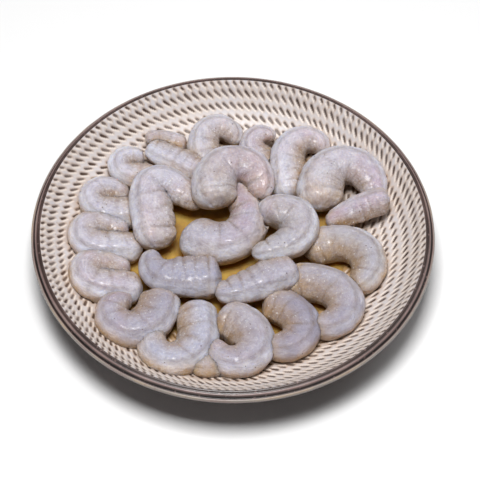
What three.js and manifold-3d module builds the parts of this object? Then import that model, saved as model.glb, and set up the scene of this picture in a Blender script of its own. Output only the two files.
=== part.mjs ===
// Peeled raw whiteleg prawns in a shallow dish, in millimetres, with +Z up.
// The origin is on the table under the middle of the dish, and -Y is the side nearest the viewer.
import * as THREE from 'three';
import { mergeVertices } from 'three/addons/utils/BufferGeometryUtils.js';
import Module from 'manifold-3d';

// Dish
const DISH_RADIUS = 120;
const CREST_RADIUS = 114.4;
const CREST_HEIGHT = 38;
const FLOOR_HEIGHT = 11;
const FOOT_RADIUS = 60;
const FOOT_WIDTH = 7;
const FOOT_HEIGHT = 6;
const DISH_SIDES = 60;

// Prawns
const CONTACT_GAP = 0.3;
const WELD = 1e-3;
const BODY_SIDES = 10;
const SIDEWAYS_THICKNESS = 0.74;
const BACK_BULGE = 0.12;
const RAW_FLESH = 0xcac6ca;
const GLAZED_SLIP = 0xe2d8c9;

// Stations along a body from the cut head end to the tail. Each has its share of the girth on a
// fully slim body, and how far the rounding of the ends draws it in.
const STATIONS = [
  [0, 0.9, 0.34], [0.015, 0.92, 0.6], [0.045, 0.95, 0.82], [0.09, 0.98, 0.96], [0.16, 1, 1],
  [0.26, 1, 1], [0.37, 0.97, 1], [0.48, 0.92, 1], [0.59, 0.85, 1], [0.69, 0.77, 1],
  [0.78, 0.68, 1], [0.87, 0.58, 0.98], [0.94, 0.49, 0.88], [0.985, 0.43, 0.64], [1, 0.4, 0.34],
];

// Every prawn starts at the middle of its cut head end. Directions are degrees to the left of +X.
// It sets off along its heading and turns left by its turn. The bend is sharpest at bendAt and
// spread over bendOver, both shares of the length, which may reach past the ends of the body.
// The slimness is how much of the taper it has.
// The plane that it lies in leans, so that its side towards a direction is the higher one.
// The list runs from the bottom of the heap to the top.
const PRAWNS = [
  { name: 'prawn_back_tip', at: [-30.3, 72, 22], heading: 165, turn: 46,
    bendAt: 0.79, bendOver: 0.78, length: 25, girth: 15, slimness: 0.6, lean: 12, towards: 150 },
  { name: 'prawn_front_tip', at: [-8.1, -87.5, 23], heading: 203, turn: -28,
    bendAt: 0.5, bendOver: 1.2, length: 15, girth: 16, slimness: 0.6, lean: 10, towards: 265 },
  { name: 'prawn_back_inner', at: [18.5, 57.4, 19.7], heading: 115, turn: -175,
    bendAt: 1, bendOver: 1.47, length: 31, girth: 20, slimness: 0.6, lean: 14, towards: 95 },
  { name: 'prawn_back', at: [-14.4, 53.9, 18.1], heading: 105, turn: -211,
    bendAt: 0.88, bendOver: 1.32, length: 53, girth: 21, slimness: 0.6, lean: 14, towards: 105 },
  { name: 'prawn_right_under', at: [94.2, 23, 31.8], heading: 179, turn: 21,
    bendAt: 0.17, bendOver: 0.63, length: 40, girth: 18, slimness: 0.6, lean: 25, towards: 60 },
  { name: 'prawn_right', at: [43.3, -6, 18.1], heading: 24, turn: -174,
    bendAt: 0.68, bendOver: 1.35, length: 67, girth: 25, slimness: 0.45, lean: 7, towards: 350 },
  { name: 'prawn_front_right', at: [30.8, -27.5, 18.4], heading: 352, turn: -216,
    bendAt: 1.5, bendOver: 2.78, length: 71, girth: 25.5, slimness: 0.45, lean: 7, towards: 330 },
  { name: 'prawn_front_inner_right', at: [19, -42.2, 18.3], heading: 336, turn: -213,
    bendAt: 1.5, bendOver: 2.96, length: 60, girth: 24.5, slimness: 0.45, lean: 8, towards: 295 },
  { name: 'prawn_front', at: [-7.5, -52.6, 20], heading: 328, turn: -274,
    bendAt: 1.5, bendOver: 2.87, length: 67, girth: 27, slimness: 0.65, lean: 7, towards: 275 },
  { name: 'prawn_front_inner_left', at: [-22.5, -44.5, 19.4], heading: 278, turn: -258,
    bendAt: 1.5, bendOver: 2.68, length: 75, girth: 25, slimness: 0.45, lean: 6, towards: 240 },
  { name: 'prawn_front_left', at: [-42, -37.3, 20.6], heading: 264, turn: -278,
    bendAt: 1.5, bendOver: 2.9, length: 66, girth: 26, slimness: 0.45, lean: 7, towards: 205 },
  { name: 'prawn_left_lower', at: [-53.9, -33.8, 19.1], heading: 180, turn: -195,
    bendAt: 0.57, bendOver: 0.55, length: 67, girth: 23.3, slimness: 0.45, lean: 10, towards: 205 },
  { name: 'prawn_left_middle', at: [-55, -3.9, 18.7], heading: 182, turn: -196,
    bendAt: 0.57, bendOver: 0.53, length: 70, girth: 21.8, slimness: 0.5, lean: 8, towards: 180 },
  { name: 'prawn_left_upper', at: [-53.5, 22.3, 18.5], heading: 181, turn: -196,
    bendAt: 0.6, bendOver: 0.56, length: 62, girth: 20.5, slimness: 0.5, lean: 10, towards: 160 },
  { name: 'prawn_left_back', at: [-44.5, 47.3, 19.1], heading: 173, turn: -183,
    bendAt: 0.65, bendOver: 0.55, length: 45, girth: 19.5, slimness: 0.6, lean: 14, towards: 145 },
  { name: 'prawn_back_right', at: [35.9, 34.3, 18.8], heading: 95, turn: -193,
    bendAt: 1.33, bendOver: 2.05, length: 62, girth: 24, slimness: 0.6, lean: 8, towards: 70 },
  { name: 'prawn_middle_back_left', at: [-21.2, 51.2, 23.4], heading: 151, turn: -1,
    bendAt: 0.47, bendOver: 1.18, length: 37, girth: 20, slimness: 0.5, lean: 5, towards: 110 },
  { name: 'prawn_right_back', at: [53.7, 22.6, 24.7], heading: 91, turn: -166,
    bendAt: 0.5, bendOver: 0.83, length: 72, girth: 29, slimness: 0.8, lean: 8, towards: 60 },
  { name: 'prawn_middle', at: [-29.3, 6.8, 20.3], heading: 331, turn: 142,
    bendAt: 0.44, bendOver: 0.74, length: 82, girth: 29, slimness: 0.85, lean: 5, towards: 0 },
  { name: 'prawn_middle_front', at: [36.9, -21, 25], heading: 209, turn: -19,
    bendAt: 0.73, bendOver: 1.11, length: 51, girth: 24, slimness: 0.75, lean: 4, towards: 110 },
  { name: 'prawn_middle_front_left', at: [-7.4, -27.9, 23.8], heading: 182, turn: -145,
    bendAt: 1.24, bendOver: 1.57, length: 50, girth: 27, slimness: 0.7, lean: 5, towards: 115 },
  { name: 'prawn_middle_left', at: [-45.3, -6.2, 23.3], heading: 99, turn: -132,
    bendAt: 0.58, bendOver: 0.3, length: 80, girth: 26.5, slimness: 0.7, lean: 6, towards: 130 },
  { name: 'prawn_middle_right', at: [19.4, 10.5, 27.6], heading: 55, turn: -220,
    bendAt: 0.25, bendOver: 1.18, length: 65, girth: 26, slimness: 0.9, lean: 5, towards: 340 },
  { name: 'prawn_middle_back', at: [-10.4, 18.8, 31], heading: 96, turn: -192,
    bendAt: 0.55, bendOver: 0.91, length: 70, girth: 28, slimness: 0.85, lean: 6, towards: 115 },
];

const radians = THREE.MathUtils.degToRad;
const wasm = await Module();
wasm.setup();

// The inner wall from the middle of the floor out to the crest of the lip, as radius and height.
// It rises slowly over the floor, then ever more steeply up the wall.
function innerWall() {
  const rises = [
    [0, 0], [0.26, 0.01], [0.45, 0.04], [0.61, 0.09], [0.7, 0.15], [0.76, 0.22], [0.81, 0.31],
    [0.86, 0.42], [0.905, 0.56], [0.95, 0.75], [0.985, 0.94], [1, 1],
  ];
  const depth = CREST_HEIGHT - FLOOR_HEIGHT;
  return rises.map(([out, up]) => [CREST_RADIUS * out, FLOOR_HEIGHT + depth * up]);
}

// The lip falls from the crest over a ridge and a groove to the bead that is the outer edge.
function lipAndOuterWall() {
  const top = CREST_HEIGHT;
  const foot = FOOT_RADIUS;
  return [
    [DISH_RADIUS - 2.6, top - 1.2], [DISH_RADIUS - 1.9, top - 2.9], [DISH_RADIUS - 0.7, top - 2.9],
    [DISH_RADIUS, top - 4], [DISH_RADIUS - 1.4, top - 5.4], [DISH_RADIUS - 8, top - 11],
    [DISH_RADIUS - 18, top - 19.5], [DISH_RADIUS - 32, top - 27], [foot + 6, FOOT_HEIGHT + 1],
    [foot + 1.5, 0.8], [foot, 0], [foot - FOOT_WIDTH + 1.5, 0], [foot - FOOT_WIDTH, FOOT_HEIGHT],
    [0, FOOT_HEIGHT],
  ];
}

function turned(outline, sides) {
  const points = outline.map(([r, z]) => new THREE.Vector2(r, z));
  const lathe = new THREE.LatheGeometry(points, sides);
  lathe.rotateX(Math.PI / 2);
  return lathe;
}

// The centreline of a prawn in its own plane, with the direction of travel at each station.
function centreline(prawn) {
  const steps = 200;
  const bendStart = prawn.bendAt - prawn.bendOver / 2;
  const bent = (s) => THREE.MathUtils.smoothstep(s, bendStart, bendStart + prawn.bendOver);
  const spine = [];
  let x = 0;
  let y = 0;
  for (let i = 0; i <= steps; i += 1) {
    const s = i / steps;
    const turnSoFar = (prawn.turn * (bent(s) - bent(0))) / (bent(1) - bent(0));
    const angle = radians(prawn.heading + turnSoFar);
    spine.push({ x, y, angle });
    x += (Math.cos(angle) * prawn.length) / steps;
    y += (Math.sin(angle) * prawn.length) / steps;
  }
  return STATIONS.map(([s]) => spine[Math.round(s * steps)]);
}

// A closed body swept along the centreline, with its back on the outside of the curl.
function prawnBody(prawn, growth) {
  const vertices = [];
  const back = prawn.turn > 0 ? -1 : 1;
  const spine = centreline(prawn);
  spine.forEach(({ x, y, angle }, station) => {
    const [, slimShare, endRounding] = STATIONS[station];
    const slimmed = 1 - prawn.slimness * (1 - slimShare);
    const deep = (prawn.girth / 2) * slimmed * endRounding + growth;
    const wide = deep * SIDEWAYS_THICKNESS;
    for (let side = 0; side < BODY_SIDES; side += 1) {
      const around = (2 * Math.PI * side) / BODY_SIDES;
      const out = back * deep * Math.cos(around);
      const up = wide * Math.sin(around) * (1 + BACK_BULGE * Math.cos(around));
      vertices.push(x - Math.sin(angle) * out, y + Math.cos(angle) * out, up);
    }
  });
  const lastRing = (spine.length - 1) * BODY_SIDES;
  const head = vertices.length / 3;
  const tail = head + 1;
  vertices.push(spine[0].x, spine[0].y, 0);
  vertices.push(spine[spine.length - 1].x, spine[spine.length - 1].y, 0);

  const faces = [];
  const face = (a, b, c) => (back < 0 ? faces.push(a, c, b) : faces.push(a, b, c));
  for (let side = 0; side < BODY_SIDES; side += 1) {
    const next = (side + 1) % BODY_SIDES;
    for (let ring = 0; ring < lastRing; ring += BODY_SIDES) {
      face(ring + side, ring + next, ring + BODY_SIDES + next);
      face(ring + side, ring + BODY_SIDES + next, ring + BODY_SIDES + side);
    }
    face(head, next, side);
    face(tail, lastRing + side, lastRing + next);
  }
  const body = new THREE.BufferGeometry();
  body.setAttribute('position', new THREE.Float32BufferAttribute(vertices, 3));
  body.setIndex(faces);

  const towards = radians(prawn.towards);
  const axis = new THREE.Vector3(Math.sin(towards), -Math.cos(towards), 0);
  body.applyMatrix4(new THREE.Matrix4().makeRotationAxis(axis, radians(prawn.lean)));
  body.translate(...prawn.at);
  return body;
}

function solidOf(geometry) {
  const bare = geometry.clone();
  bare.deleteAttribute('normal');
  bare.deleteAttribute('uv');
  const merged = mergeVertices(bare, WELD);
  return new wasm.Manifold(new wasm.Mesh({
    numProp: 3,
    vertProperties: new Float32Array(merged.attributes.position.array),
    triVerts: new Uint32Array(merged.index.array),
  }));
}

function geometryOf(solid) {
  const mesh = solid.getMesh();
  const geometry = new THREE.BufferGeometry();
  geometry.setAttribute('position', new THREE.Float32BufferAttribute(mesh.vertProperties, 3));
  geometry.setIndex(Array.from(mesh.triVerts));
  geometry.computeVertexNormals();
  return geometry;
}

// Cutting can leave a scrap hanging by one corner, so the welded surface is what gets split up.
function largestPiece(solid) {
  const pieces = solidOf(geometryOf(solid)).decompose();
  return pieces.reduce((best, piece) => (piece.volume() > best.volume() ? piece : best));
}

// The room inside the dish, clear of its surface, open far above the lip.
function roomInside() {
  const wall = innerWall().map(([r, z]) => [Math.max(r - CONTACT_GAP, 0), z + CONTACT_GAP]);
  const sky = CREST_HEIGHT + 60;
  return solidOf(turned([...wall, [CREST_RADIUS - CONTACT_GAP, sky], [0, sky]], DISH_SIDES));
}

function makeDish() {
  const outline = [...innerWall(), ...lipAndOuterWall()].reverse();
  const material = new THREE.MeshStandardMaterial({ color: GLAZED_SLIP, roughness: 0.45, metalness: 0 });
  const dish = new THREE.Mesh(turned(outline, DISH_SIDES), material);
  dish.name = 'dish';
  return dish;
}

// Soft flesh gives way: each prawn is pressed in by those above it and flattened by the dish.
function makePrawns() {
  const room = roomInside();
  return PRAWNS.map((prawn, index) => {
    let solid = solidOf(prawnBody(prawn, 0)).intersect(room);
    for (const above of PRAWNS.slice(index + 1)) {
      solid = solid.subtract(solidOf(prawnBody(above, CONTACT_GAP)));
    }
    const material = new THREE.MeshStandardMaterial({ color: RAW_FLESH, roughness: 0.3, metalness: 0 });
    const mesh = new THREE.Mesh(geometryOf(largestPiece(solid)), material);
    mesh.name = prawn.name;
    return mesh;
  });
}

const part = new THREE.Group();
part.add(makeDish(), ...makePrawns());

export default part;
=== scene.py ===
"""Peeled raw prawns curled in a shallow stoneware dish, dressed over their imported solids."""

import math
from typing import NamedTuple

import bpy
import numpy as np
from bpy.props import FloatProperty, FloatVectorProperty, IntProperty, PointerProperty
from mathutils import Matrix, Vector


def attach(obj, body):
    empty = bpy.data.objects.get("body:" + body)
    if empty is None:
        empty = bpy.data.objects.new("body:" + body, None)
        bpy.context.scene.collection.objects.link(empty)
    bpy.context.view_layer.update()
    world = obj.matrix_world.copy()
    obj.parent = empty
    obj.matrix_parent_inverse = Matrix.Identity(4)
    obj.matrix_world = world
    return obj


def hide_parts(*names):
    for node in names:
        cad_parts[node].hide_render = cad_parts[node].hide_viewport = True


bl_info = {
    "name": "Dish of Peeled Prawns",
    "version": (1, 0, 0),
    "blender": (4, 5, 0),
    "location": "View3D > Sidebar > Prawns",
    "description": "Makes a dish of peeled raw prawns over its solid model",
    "category": "Add Mesh",
}

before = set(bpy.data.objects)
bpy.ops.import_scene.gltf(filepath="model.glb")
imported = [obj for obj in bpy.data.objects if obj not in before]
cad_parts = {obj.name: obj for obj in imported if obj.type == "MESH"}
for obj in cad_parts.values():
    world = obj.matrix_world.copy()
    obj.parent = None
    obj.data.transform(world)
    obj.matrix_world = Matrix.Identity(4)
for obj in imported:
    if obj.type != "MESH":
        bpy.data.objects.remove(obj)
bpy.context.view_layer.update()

# Every size below is in millimetres unless its name says otherwise.
MM = 0.001
BODY = "root"

# The photograph's frame and where the middle of the dish's crest stands in it.
FRAME_PIXELS = 480
CREST_PIXEL_X = 233.0
CREST_PIXEL_Y = 224.6
SENSOR_WIDTH = 36.0

# Dish
CREST_RADIUS = 114.4
CREST_HEIGHT = 38.0
FLOOR_HEIGHT = 11.0
WALL_FOOT = 68.0
WALL_JOIN = 84.0
FLOOR_COLUMNS = 288
FLOOR_ROWS = 50
LIP_COLUMNS = 504
LIP_ROWS = 120

# The side of the wall where the marks and glaze get painted shade, and the noise seeds of the dish's
# small unevenness.
PAINTED_SHADE_SIDE = math.radians(-55)
WALL_SEED = 5
FLOOR_SEED = 6
STAIN_SEED = 8
LIP_SEED = 9

# Heights between which the outer wall shows throwing rings, the rings' height and their turn in
# radians for each millimetre, and the height above which the lip is even.
THROWN_FROM = (8.0, 14.0)
THROWN_TO = (28.0, 32.0)
THROWN_HEIGHT = 0.12
THROWN_TURN = 2.4
EVEN_ABOVE = 37

# How far juice and painted shade from the prawns stain the glaze, and the gap under which painted shade
# stands brown between them.
JUICE_AND_SHADE_REACH = 5.5
OPEN_GAP = 0.5
CLOSED_GAP = 5.0
PAINTED_GAP_SHADE_SHARE = 0.85

# Radii between which the honey stain, the golden tint of the cuts and the painted gap shade fade out.
STAIN_FADE = (72.0, 88.0)
GOLDEN_FADE = (84.0, 100.0)
PAINTED_GAP_SHADE_FADE = (78.0, 92.0)

# The inner wall as a share of the crest's radius, and of the rise from the floor to the crest.
WALL_RISES = (
    (0, 0), (0.26, 0.01), (0.45, 0.04), (0.61, 0.09), (0.7, 0.15), (0.76, 0.22),
    (0.81, 0.31), (0.86, 0.42), (0.905, 0.56), (0.95, 0.75), (0.985, 0.94), (1, 1),
)

# The lip, outer wall and foot as radius, height and tone, where tone 0 is the groove, painted black as
# shade,
# 0.3 the burnt glaze, 0.6 the ridge, worn and with a painted highlight, 0.8 the pale bead and 1 bare
# clay.
LIP_OUTLINE = (
    (114.4, 38.0, 0.3), (114.9, 38.05, 0.28), (115.5, 37.75, 0.22), (116.1, 37.3, 0.2),
    (116.6, 37.3, 0.45), (117.0, 37.25, 0.6), (117.4, 36.9, 0.5), (117.65, 36.2, 0.15),
    (117.9, 35.3, 0), (118.25, 34.95, 0), (118.6, 35.2, 0.3), (119.0, 35.4, 0.8),
    (119.5, 35.2, 0.84), (119.9, 34.6, 0.8), (120.0, 33.9, 0.62), (119.6, 33.1, 0.4),
    (118.6, 32.3, 0.3), (117.2, 31.1, 0.3), (112, 27, 0.32), (107, 22.9, 0.34), (102, 18.6, 0.34),
    (95, 14.4, 0.36), (88, 11.1, 0.36), (76, 8.4, 0.38), (66, 6.6, 0.4), (63.6, 5.6, 0.5),
    (62.2, 3.2, 0.9), (61.5, 0.9, 1), (60.9, 0.25, 1), (60, 0, 1), (57, 0, 1), (55, 0.1, 1),
    (54.2, 0.8, 1), (53.4, 3.4, 0.9), (52.8, 5.3, 0.5), (51.4, 6.0, 0.4), (40, 6.1, 0.38),
    (20, 6.1, 0.36), (3, 6.1, 0.36), (0.2, 6.1, 0.36),
)

# The two strips of the inner wall: name, inner and outer radius, rows and columns of points.
WALL_STRIPS = (
    ("dish_wall", WALL_JOIN, CREST_RADIUS, 48, 2016),
    ("dish_wall_foot", WALL_FOOT, WALL_JOIN, 26, 1440),
)


class MarkRing(NamedTuple):
    """One ring of cut marks in the slip, with the size of each mark. Angles are in degrees."""

    radius: float
    count: int
    phase: float
    length: float
    width: float
    slant: float
    burnt: float


MARK_RINGS = (
    MarkRing(112.9, 149, 0.3, 3.1, 1.6, 38, 1.0),
    MarkRing(108.8, 144, 0.4, 5.1, 1.55, 36, 0.95),
    MarkRing(103.2, 144, 0.15, 5.1, 1.65, 36, 0.9),
    MarkRing(97.4, 120, 1.0, 5.1, 1.75, 34, 0.9),
    MarkRing(91.8, 120, 0.2, 5.1, 1.8, 32, 0.9),
    MarkRing(86.4, 108, 0.7, 4.8, 1.8, 32, 0.9),
    MarkRing(81.3, 108, 1.9, 4.6, 1.6, 32, 0.7),
    MarkRing(76.3, 96, 0.4, 4.6, 1.6, 32, 0.6),
    MarkRing(71.5, 96, 1.5, 4.4, 1.6, 32, 0.5),
)

# Prawns
SPINE_STEPS = 200
BODY_SIDES = 64
RING_SPACING = 0.72
FEWEST_RINGS = 44
MOST_RINGS = 124
SIDEWAYS_THICKNESS = 0.74
BACK_BULGE = 0.12
CAP_RINGS = 5
PRESS_ROUNDS = 3
SMOOTH_ROUNDS = 4
USUAL_GIRTH = 25.0
CAP_HEIGHT = 0.22

# The fine relief of the skin, and the most it may be as a share of the body's depth.
STRANDS = 7
STRAND_HEIGHT = 0.24
RIB_TURN = 2.5
RIB_HEIGHT = 0.1
GROOVE_DEPTH = 0.5
CREASE_DEPTH = 0.4
GRAIN_HEIGHT = 0.11
MOST_RELIEF = 0.85

# The groove along the belly, the crease each side of the back, and where the belly side begins, in
# radians round the body.
GROOVE_WIDTH = 0.35
CREASE_ANGLE = 0.9
CREASE_WIDTH = 0.17
INNER_ANGLE = 2.2

# A distance that stands for no contact. A point in a prawn above is turned round its body towards the
# underside by so many radians for each share of that body's depth, within a slack along its spine.
FAR = 99.0
PRESS_TURN = 4.2
SPINE_SLACK = 0.6

# Searches for the nearest spine look this far round a body, and at every so many of its steps.
SEARCH_MARGIN = 8.0
PRESS_STEP = 2
JUICE_STEP = 6

# Each prawn's streaks start at their own place in the noise.
STREAK_STEP_ALONG = 37.0
STREAK_STEP_AROUND = 5.0

# Shares of the length at which one segment of the tail meets the next.
SEGMENT_ENDS = (0, 0.13, 0.28, 0.43, 0.57, 0.71, 0.85, 1)

# Stations along a body from the cut head end to the tail. Each has its share of the girth on a
# fully slim body, and how far the rounding of the ends draws it in.
STATIONS = (
    (0, 0.9, 0.34), (0.015, 0.92, 0.6), (0.045, 0.95, 0.82), (0.09, 0.98, 0.96), (0.16, 1, 1),
    (0.26, 1, 1), (0.37, 0.97, 1), (0.48, 0.92, 1), (0.59, 0.85, 1), (0.69, 0.77, 1),
    (0.78, 0.68, 1), (0.87, 0.58, 0.98), (0.94, 0.49, 0.88), (0.985, 0.43, 0.64), (1, 0.4, 0.34),
)


class Prawn(NamedTuple):
    """One prawn: where its cut head end is, how its spine runs, how it leans, and its tints.

    Angles are in degrees. The bend's place and reach are shares of the length. Tints run from 0 to 1,
    and a little over 1 where a tint covers its whole end.
    """

    node: str
    at: tuple
    heading: float
    turn: float
    bend_at: float
    bend_over: float
    length: float
    girth: float
    slimness: float
    lean: float
    towards: float
    blue: float = 0.0
    rose_head: float = 0.0
    rose_tail: float = 0.0
    tan_head: float = 0.0
    tan_tail: float = 0.0
    clear: float = 0.0
    milk: float = 0.0
    grey: float = 0.0

    def half_depth(self, share):
        """Half of the body's depth at a share of its length: a slimmer prawn tapers more."""
        slimmed = 1 - self.slimness * (1 - slim_share(share))
        return self.girth / 2 * slimmed * end_rounding(share)


# Directions are degrees to the left of +X. The list runs from the bottom of the heap to the top.
# The back rows carry more milk and the front rows more clear and grey, so the heap is paler at the back
# than at the front.
PRAWNS = (
    Prawn("prawn_back_tip", (-30.3, 72, 22), 165, 46, 0.79, 0.78, 25, 15, 0.6, 12, 150,
          rose_head=0.5, rose_tail=0.5, tan_head=0.4, tan_tail=0.3, milk=0.3),
    Prawn("prawn_front_tip", (-8.1, -87.5, 23), 203, -28, 0.5, 1.2, 15, 16, 0.6, 10, 265,
          rose_head=0.9, tan_head=0.1, tan_tail=0.1, clear=0.6, grey=0.5),
    Prawn("prawn_back_inner", (18.5, 57.4, 19.7), 115, -175, 1, 1.47, 31, 20, 0.6, 14, 95,
          rose_head=0.3, rose_tail=0.8, tan_tail=0.3, milk=0.6),
    Prawn("prawn_back", (-14.4, 53.9, 18.1), 105, -211, 0.88, 1.32, 53, 21, 0.6, 14, 105,
          rose_tail=0.4, tan_tail=0.5, milk=0.8),
    Prawn("prawn_right_under", (94.2, 23, 31.8), 179, 21, 0.17, 0.63, 40, 18, 0.6, 25, 60,
          rose_head=1.0, rose_tail=1.0),
    Prawn("prawn_right", (43.3, -6, 18.1), 24, -174, 0.68, 1.35, 67, 25, 0.45, 7, 350,
          blue=0.2, tan_head=0.3, clear=0.5),
    Prawn("prawn_front_right", (30.8, -27.5, 18.4), 352, -216, 1.5, 2.78, 71, 25.5, 0.45, 7, 330,
          blue=0.4, rose_tail=0.3, tan_head=0.3, clear=0.6, grey=0.65),
    Prawn("prawn_front_inner_right", (19, -42.2, 18.3), 336, -213, 1.5, 2.96, 60, 24.5, 0.45, 8, 295,
          rose_tail=1.0, tan_head=0.2, clear=1.0, grey=1.0),
    Prawn("prawn_front", (-7.5, -52.6, 20), 328, -274, 1.5, 2.87, 67, 27, 0.65, 7, 275,
          blue=0.4, rose_tail=0.6, tan_head=0.4, clear=0.4, grey=0.5),
    Prawn("prawn_front_inner_left", (-22.5, -44.5, 19.4), 278, -258, 1.5, 2.68, 75, 25, 0.45, 6, 240,
          blue=0.9, clear=0.1, milk=0.1, grey=0.35),
    Prawn("prawn_front_left", (-42, -37.3, 20.6), 264, -278, 1.5, 2.9, 66, 26, 0.45, 7, 205,
          blue=0.3, rose_tail=0.9, clear=0.2, grey=0.65),
    Prawn("prawn_left_lower", (-53.9, -33.8, 19.1), 180, -195, 0.57, 0.55, 67, 23.3, 0.45, 10, 205,
          rose_head=0.3, rose_tail=0.7, tan_tail=0.3, milk=0.2),
    Prawn("prawn_left_middle", (-55, -3.9, 18.7), 182, -196, 0.57, 0.53, 70, 21.8, 0.5, 8, 180,
          blue=0.1, rose_head=0.1, rose_tail=0.4, milk=0.3),
    Prawn("prawn_left_upper", (-53.5, 22.3, 18.5), 181, -196, 0.6, 0.56, 62, 20.5, 0.5, 10, 160,
          blue=0.2, rose_tail=0.4, milk=0.35),
    Prawn("prawn_left_back", (-44.5, 47.3, 19.1), 173, -183, 0.65, 0.55, 45, 19.5, 0.6, 14, 145,
          blue=0.3, rose_head=0.6, milk=0.6),
    Prawn("prawn_back_right", (35.9, 34.3, 18.8), 95, -193, 1.33, 2.05, 62, 24, 0.6, 8, 70,
          rose_tail=0.6, tan_tail=0.2, milk=0.9),
    Prawn("prawn_middle_back_left", (-21.2, 51.2, 23.4), 151, -1, 0.47, 1.18, 37, 20, 0.5, 5, 110,
          blue=0.5, rose_head=0.3, milk=0.6),
    Prawn("prawn_right_back", (53.7, 22.6, 24.7), 91, -166, 0.5, 0.83, 72, 29, 0.8, 8, 60,
          blue=0.2, rose_tail=0.8, tan_head=0.7, milk=0.45),
    Prawn("prawn_middle", (-29.3, 6.8, 20.3), 331, 142, 0.44, 0.74, 82, 29, 0.85, 5, 0,
          blue=0.7, rose_tail=1.6, tan_head=0.2, grey=0.25),
    Prawn("prawn_middle_front", (36.9, -21, 25), 209, -19, 0.73, 1.11, 51, 24, 0.75, 4, 110,
          rose_head=0.2, blue=0.2, grey=0.5),
    Prawn("prawn_middle_front_left", (-7.4, -27.9, 23.8), 182, -145, 1.24, 1.57, 50, 27, 0.7, 5, 115,
          blue=1.0, grey=0.8),
    Prawn("prawn_middle_left", (-45.3, -6.2, 23.3), 99, -132, 0.58, 0.3, 80, 26.5, 0.7, 6, 130,
          blue=0.2, rose_head=0.3, tan_head=0.35, rose_tail=0.6, milk=0.5),
    Prawn("prawn_middle_right", (19.4, 10.5, 27.6), 55, -220, 0.25, 1.18, 65, 26, 0.9, 5, 340,
          tan_head=0.1, rose_head=0.2, clear=0.3, milk=0.1),
    Prawn("prawn_middle_back", (-10.4, 18.8, 31), 96, -192, 0.55, 0.91, 70, 28, 0.85, 6, 115,
          rose_tail=1.4, tan_tail=0.6, tan_head=0.5, clear=0.2, milk=0.2),
)

# Seeds and hash numbers that keep every run the same.
HASH_X = 73856093
HASH_Y = 19349663
HASH_Z = 83492791
HASH_SEED = 40503
HASH_MIX = 1274126177
HASH_MASK = 0x7FFFFFFF
HASH_RANGE = 65535


def linear(red, green, blue):
    """A colour given as screen values from 0 to 255, as the linear colour that shaders use."""
    def one(value):
        value = value / 255
        return value / 12.92 if value <= 0.04045 else ((value + 0.055) / 1.055) ** 2.4
    return (one(red), one(green), one(blue), 1.0)


def colour_setting(name, description, red, green, blue):
    """A colour that a user can change, with its default given as screen values."""
    return FloatVectorProperty(
        name=name, description=description, subtype="COLOR", size=4, default=linear(red, green, blue)
    )


def smooth_curve(knots):
    """A function through the knots that never overshoots between them."""
    places, values = np.array(knots, float).T
    steps = np.diff(places)
    rises = np.diff(values) / steps
    slopes = np.zeros_like(places)
    slopes[0] = rises[0]
    slopes[-1] = rises[-1]
    before = rises[:-1]
    after = rises[1:]
    same_way = before * after > 0
    total = np.where(same_way, before + after, 1)
    slopes[1:-1] = np.where(same_way, 2 * before * after / total, 0)

    def curve(wanted):
        wanted = np.asarray(wanted, float)
        left = np.clip(np.searchsorted(places, wanted) - 1, 0, len(steps) - 1)
        step = steps[left]
        t = np.clip((wanted - places[left]) / step, 0, 1)
        return (
            values[left] * (1 + 2 * t) * (1 - t) ** 2
            + slopes[left] * step * t * (1 - t) ** 2
            + values[left + 1] * t * t * (3 - 2 * t)
            + slopes[left + 1] * step * t * t * (t - 1)
        )

    return curve


def ramp(low, high, values):
    """Smoothly from 0 at low to 1 at high."""
    t = np.clip((values - low) / (high - low), 0, 1)
    return t * t * (3 - 2 * t)


def scatter(keys, seed):
    """An even random number from 0 to 1 for each whole-number key."""
    mixed = (keys * HASH_X) ^ (seed * HASH_SEED)
    mixed = ((mixed ^ (mixed >> 13)) * HASH_MIX) & HASH_MASK
    return ((mixed ^ (mixed >> 15)) & HASH_RANGE) / HASH_RANGE


def lumps(points, cell, seed):
    """Smooth noise from -1 to 1 at points of any shape (..., 3), with lumps about a cell across."""
    place = points / cell
    low = np.floor(place).astype(np.int64)
    part = place - low
    part = part * part * (3 - 2 * part)
    total = np.zeros(points.shape[:-1])
    for corner in np.ndindex(2, 2, 2):
        key = low + np.array(corner)
        mixed = (key[..., 0] * HASH_X) ^ (key[..., 1] * HASH_Y) ^ (key[..., 2] * HASH_Z)
        share = np.prod(np.where(corner, part, 1 - part), axis=-1)
        total += share * (2 * scatter(mixed & HASH_MASK, seed) - 1)
    return total


wall_share = smooth_curve(WALL_RISES)


def wall_height(radius):
    """Height of the dish's inner surface at a radius."""
    return FLOOR_HEIGHT + (CREST_HEIGHT - FLOOR_HEIGHT) * wall_share(radius / CREST_RADIUS)


def grid_faces(rows, columns):
    """Four-sided faces of a grid whose columns close round into a ring."""
    row, column = np.meshgrid(np.arange(rows - 1), np.arange(columns), indexing="ij")
    here = row * columns + column
    beside = row * columns + (column + 1) % columns
    return np.stack([here, here + columns, beside + columns, beside], -1).reshape(-1, 4)


def make_mesh(name, vertices, faces, material):
    """A smooth-shaded object from points in millimetres and lists of corners."""
    mesh = bpy.data.meshes.new(name)
    mesh.from_pydata((np.asarray(vertices) * MM).tolist(), [], faces)
    mesh.polygons.foreach_set("use_smooth", np.ones(len(mesh.polygons), bool))
    mesh.materials.append(material)
    mesh.update()
    piece = bpy.data.objects.new(name, mesh)
    bpy.context.collection.objects.link(piece)
    return piece


def store(piece, name, values):
    """Keeps a number for each point of the piece, for its material to read."""
    layer = piece.data.attributes.new(name, "FLOAT", "POINT")
    layer.data.foreach_set("value", np.asarray(values, np.float32).ravel())


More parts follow.
